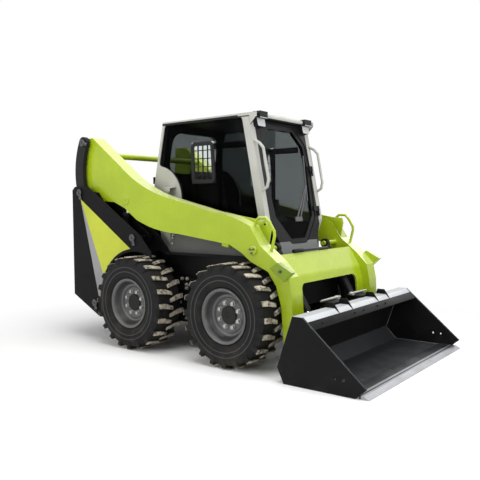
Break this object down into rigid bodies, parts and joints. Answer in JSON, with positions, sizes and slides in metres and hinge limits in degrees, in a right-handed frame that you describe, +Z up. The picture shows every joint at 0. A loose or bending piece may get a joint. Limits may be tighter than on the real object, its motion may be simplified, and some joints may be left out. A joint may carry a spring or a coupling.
{
  "type": "skid steer loader",
  "caption": "Compact wheeled skid steer loader with a vertical-lift arm on four-bar links, a dirt bucket and an enclosed cab with door, for digging and loading.",
  "frame": {"origin": "on the ground below the middle of the overall box", "axes": "+X forward to the bucket, +Y to the operator's left, +Z up"},
  "size_m": [3.27, 1.86, 2.0759],
  "materials": {
    "lime_paint": "semi-gloss, lightly worn",
    "black_paint": "satin",
    "cab_grey_paint": "semi-gloss",
    "panel_grey": "satin",
    "rim_grey": "satin, dusty",
    "tyre_rubber": "matt, dusty",
    "bucket_paint": "worn satin",
    "edge_steel": "ground",
    "cylinder_paint": "satin",
    "rod_chrome": "polished",
    "axle_iron": "rough",
    "tinted_glass": "tinted",
    "door_black": "satin",
    "black_plastic": "grained",
    "seat_fabric": "woven",
    "lamp_plastic": "clear lens",
    "tail_lamp_red": "red lens"
  },
  "bodies": {
    "frame": {"chassis": "black_paint", "axle_stubs": "axle_iron", "towers": "black_paint", "rear_bumper": "black_paint", "engine_block": "axle_iron", "engine_hood": "black_paint", "fenders": "black_paint", "side_panels": "panel_grey", "cab_sides": "cab_grey_paint", "side_glass": "tinted_glass", "window_guards": "door_black", "cab_rear_wall": "cab_grey_paint", "rear_glass": "tinted_glass", "cab_roof": "cab_grey_paint", "cab_front_frame": "cab_grey_paint", "cab_floor": "black_plastic", "seat_base": "black_plastic", "seat_cushion": "seat_fabric", "seat_back": "seat_fabric", "control_consoles": "black_plastic", "work_lights": "lamp_plastic", "cab_handles": "cab_grey_paint", "tail_lamps": "tail_lamp_red"},
    "loader_arm": {"lift_arms": "lime_paint", "arm_cross_tube": "lime_paint", "arm_cross_member": "lime_paint"},
    "rear_link_pair": {"rear_links": "black_paint"},
    "control_link_pair": {"control_links": "black_paint"},
    "lift_barrel_pair": {"lift_barrels": "cylinder_paint"},
    "lift_rod_pair": {"lift_rods": "rod_chrome"},
    "tilt_barrel_pair": {"tilt_barrels": "cylinder_paint"},
    "tilt_rod_pair": {"tilt_rods": "rod_chrome"},
    "loader_bucket": {"bucket": "bucket_paint", "cutting_edge": "edge_steel", "quick_attach": "bucket_paint"},
    "front_door": {"cab_door": "door_black", "door_glass": "tinted_glass", "wiper": "black_plastic"},
    "tailgate": {"rear_door": "black_paint"},
    "wheel_front_right": {"tyre_front_right": "tyre_rubber", "rim_front_right": "rim_grey"},
    "wheel_front_left": {"tyre_front_left": "tyre_rubber", "rim_front_left": "rim_grey"},
    "wheel_rear_right": {"tyre_rear_right": "tyre_rubber", "rim_rear_right": "rim_grey"},
    "wheel_rear_left": {"tyre_rear_left": "tyre_rubber", "rim_rear_left": "rim_grey"}
  },
  "joints": [
    {"name": "wheel_front_right", "type": "hinge", "parent": "frame", "child": "wheel_front_right", "pos_m": [0.37, -0.748, 0.418], "axis": [0, 1, 0], "continuous": true},
    {"name": "wheel_front_left", "type": "hinge", "parent": "frame", "child": "wheel_front_left", "pos_m": [0.37, 0.748, 0.418], "axis": [0, 1, 0], "continuous": true},
    {"name": "wheel_rear_right", "type": "hinge", "parent": "frame", "child": "wheel_rear_right", "pos_m": [-0.73, -0.748, 0.418], "axis": [0, 1, 0], "continuous": true},
    {"name": "wheel_rear_left", "type": "hinge", "parent": "frame", "child": "wheel_rear_left", "pos_m": [-0.73, 0.748, 0.418], "axis": [0, 1, 0], "continuous": true},
    {"name": "rear_link_swing", "type": "hinge", "parent": "frame", "child": "rear_link_pair", "pos_m": [-1.504, 0, 1.419], "axis": [0, -1, 0], "range_deg": [0, 29.17]},
    {"name": "lift", "type": "hinge", "parent": "rear_link_pair", "child": "loader_arm", "pos_m": [-1.465, 0, 1.9], "axis": [0, -1, 0], "range_deg": [0, 32.88]},
    {"name": "control_link_swing", "type": "hinge", "parent": "frame", "child": "control_link_pair", "pos_m": [-0.758, 0, 1], "axis": [0, 1, 0], "range_deg": [0, 12.71]},
    {"name": "lift_barrel_swing", "type": "hinge", "parent": "frame", "child": "lift_barrel_pair", "pos_m": [-1.301, 0, 0.358], "axis": [0, -1, 0], "range_deg": [0, 10]},
    {"name": "lift_rod_slide", "type": "slide", "parent": "lift_barrel_pair", "child": "lift_rod_pair", "axis": [0.3668, 0, 0.9303], "range_m": [0, 0.7058]},
    {"name": "tilt", "type": "hinge", "parent": "loader_arm", "child": "loader_bucket", "pos_m": [0.88, 0, 0.195], "axis": [0, 1, 0], "range_deg": [-22, 102]},
    {"name": "tilt_barrel_swing", "type": "hinge", "parent": "loader_arm", "child": "tilt_barrel_pair", "pos_m": [0.547, 0, 0.935], "axis": [0, 1, 0], "range_deg": [-2.09, 0.49]},
    {"name": "tilt_rod_slide", "type": "slide", "parent": "tilt_barrel_pair", "child": "tilt_rod_pair", "axis": [0.5117, 0, -0.8592], "range_m": [-0.0513, 0.2344]},
    {"name": "front_door", "type": "hinge", "parent": "frame", "child": "front_door", "pos_m": [0.49077, 0.396, 1.18233], "axis": [-0.1938, 0, 0.981], "range_deg": [0, 90]},
    {"name": "tailgate", "type": "hinge", "parent": "frame", "child": "tailgate", "pos_m": [-1.627, 0.515, 0.85], "axis": [0, 0, -1], "range_deg": [0, 95]}
  ],
  "couplings": [
    {"joint": "rear_link_swing", "follows": "lift", "ratio": 0.88579},
    {"joint": "control_link_swing", "follows": "lift", "ratio": 0.38517},
    {"joint": "lift_barrel_swing", "follows": "lift", "ratio": 0.30273},
    {"joint": "lift_rod_slide", "follows": "lift", "m_per_rad": 1.2283},
    {"joint": "tilt_barrel_swing", "follows": "tilt", "ratio": -0.02},
    {"joint": "tilt_rod_slide", "follows": "tilt", "m_per_rad": 0.13113}
  ]
}
